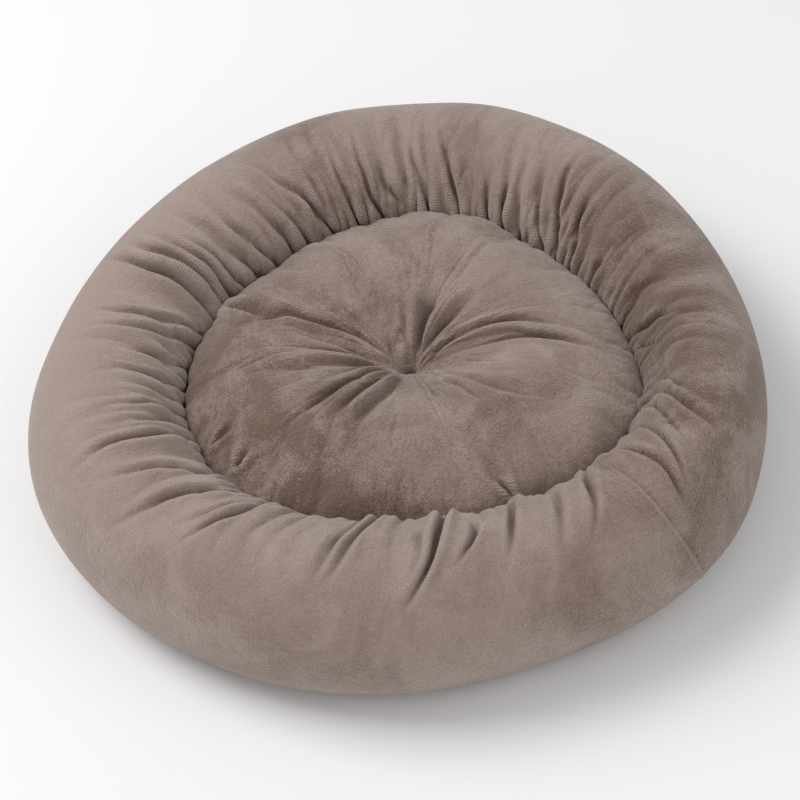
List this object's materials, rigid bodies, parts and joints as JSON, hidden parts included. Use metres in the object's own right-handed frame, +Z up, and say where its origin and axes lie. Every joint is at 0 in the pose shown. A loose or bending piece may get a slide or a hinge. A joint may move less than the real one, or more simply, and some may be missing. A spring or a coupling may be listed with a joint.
{
  "type": "pet cushion bed",
  "caption": "Round stuffed pet bed: a plush bolster gathered onto a tufted centre cushion, over a flat grip base.",
  "frame": {"origin": "on the floor under the middle of the bed", "axes": "+Z up, the bed's round axis; +X to the right and -Y towards a person in front"},
  "size_m": [0.5, 0.5, 0.108],
  "materials": {
    "plush": "short-pile taupe plush with a soft nap",
    "fibre": "white hollow-fibre filling",
    "grip_cloth": "dark woven cloth with small grip dots",
    "lining": "plain non-woven lining",
    "thread": "taupe polyester sewing thread"
  },
  "bodies": {
    "root": {"bolster_cover": "plush", "bolster_filling": "fibre", "bolster_join_thread": "thread", "centre_panel": "plush", "centre_filling": "fibre", "inner_wall": "lining", "centre_seam_thread": "thread", "gathering_thread": "thread", "wall_foot_thread": "thread", "base_panel": "grip_cloth", "base_seam_thread": "thread", "closing_stitch": "thread", "tuft_tie": "thread", "tuft_top_tack": "thread", "tuft_base_tack": "thread"}
  },
  "joints": []
}
